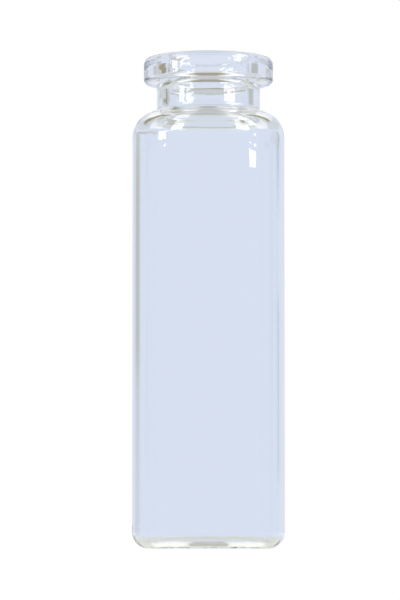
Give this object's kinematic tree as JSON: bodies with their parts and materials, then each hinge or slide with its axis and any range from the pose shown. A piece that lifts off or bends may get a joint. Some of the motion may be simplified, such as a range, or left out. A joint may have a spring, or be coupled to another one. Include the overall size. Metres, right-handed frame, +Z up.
{
  "type": "glass sample vial",
  "caption": "Clear glass sample vial with a flat standing ring, straight body, rounded shoulder, short neck and a flat-topped flange for a stopper and crimp cap.",
  "frame": {"origin": "centre of the standing ring, on the vial's axis", "axes": "+Z up along the vial's axis and out of its mouth; X and Y lie in the plane that it stands on"},
  "size_m": [0.0232, 0.0232, 0.075],
  "materials": {
    "clear_glass": "clear and fire-polished, smooth all over"
  },
  "bodies": {
    "root": {"vial": "clear_glass"}
  },
  "joints": []
}
